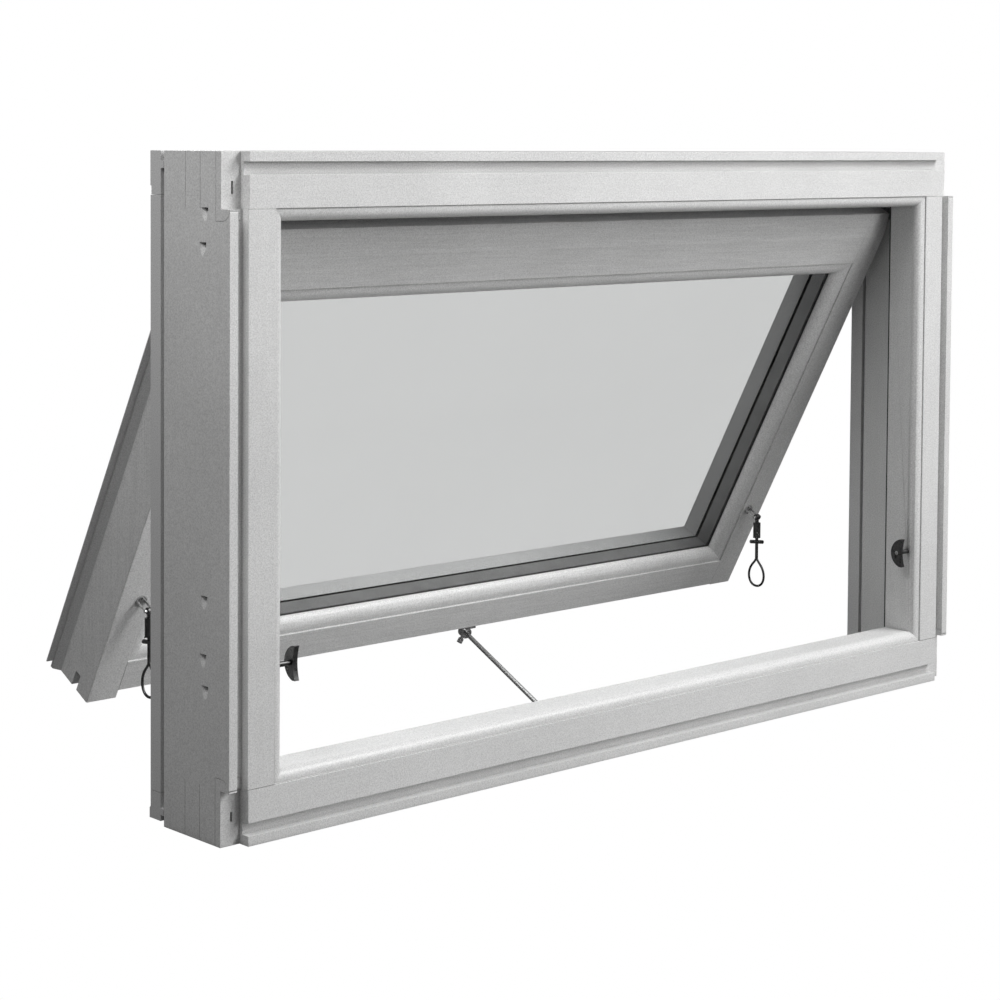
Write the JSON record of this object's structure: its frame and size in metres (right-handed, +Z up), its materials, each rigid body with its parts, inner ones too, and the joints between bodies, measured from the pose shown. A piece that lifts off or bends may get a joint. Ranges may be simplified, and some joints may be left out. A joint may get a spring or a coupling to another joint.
{
  "type": "top hung awning window",
  "caption": "Painted timber window frame with one sash hung at the top, standing open outwards on a stay, with an aluminium skin, sealed glass unit, turn knobs and hanging wire latches.",
  "frame": {"origin": "middle of the flat underside of the sill, half way through the timber depth", "axes": "+X to the right along the window as seen from the room, +Y outdoors, +Z up"},
  "size_m": [0.98, 0.3361, 0.58],
  "materials": {
    "painted_timber": "satin white paint",
    "coated_aluminium": "matt white powder coat",
    "clear_glass": "polished",
    "spacer_bar": "matt",
    "black_rubber": "matt",
    "bright_steel": "bright plated",
    "dark_steel": "dark plated"
  },
  "bodies": {
    "window": {"frame_head": "painted_timber", "frame_left_jamb": "painted_timber", "frame_right_jamb": "painted_timber", "frame_seal": "black_rubber", "frame_sill": "painted_timber", "gasket_inner": "black_rubber", "gasket_outer": "black_rubber", "glass_inner": "clear_glass", "glass_outer": "clear_glass", "glass_spacer": "spacer_bar", "hinge_arm_left": "bright_steel", "hinge_arm_right": "bright_steel", "hinge_pin_left": "bright_steel", "hinge_pin_right": "bright_steel", "latch_staple_left": "bright_steel", "latch_staple_right": "bright_steel", "sash_bottom_rail": "painted_timber", "sash_left_stile": "painted_timber", "sash_right_stile": "painted_timber", "sash_skin_bottom": "coated_aluminium", "sash_skin_left": "coated_aluminium", "sash_skin_right": "coated_aluminium", "sash_skin_top": "coated_aluminium", "sash_top_rail": "painted_timber", "skin_head": "coated_aluminium", "skin_left_jamb": "coated_aluminium", "skin_right_jamb": "coated_aluminium", "skin_sill": "coated_aluminium", "stay_clamp": "bright_steel", "stay_keeper": "bright_steel", "stay_rod": "bright_steel", "stay_thumb_screw": "bright_steel"},
    "latch_left": {"latch_sleeve_left": "bright_steel", "latch_wire_left": "bright_steel"},
    "latch_right": {"latch_sleeve_right": "bright_steel", "latch_wire_right": "bright_steel"},
    "left_knob": {"knob_left": "dark_steel"},
    "right_knob": {"knob_right": "dark_steel"}
  },
  "joints": [
    {"name": "left_latch_swing", "type": "hinge", "parent": "window", "child": "latch_left", "pos_m": [-0.421, 0.16872, 0.15907], "axis": [1, 0, 0], "range_deg": [-40, 20]},
    {"name": "right_latch_swing", "type": "hinge", "parent": "window", "child": "latch_right", "pos_m": [0.421, 0.16872, 0.15907], "axis": [1, 0, 0], "range_deg": [-40, 20]},
    {"name": "left_knob_turn", "type": "hinge", "parent": "window", "child": "left_knob", "pos_m": [-0.42, -0.03625, 0.146], "axis": [1, 0, 0], "range_deg": [-90, 90]},
    {"name": "right_knob_turn", "type": "hinge", "parent": "window", "child": "right_knob", "pos_m": [0.42, -0.03625, 0.146], "axis": [1, 0, 0], "range_deg": [-90, 90]}
  ]
}
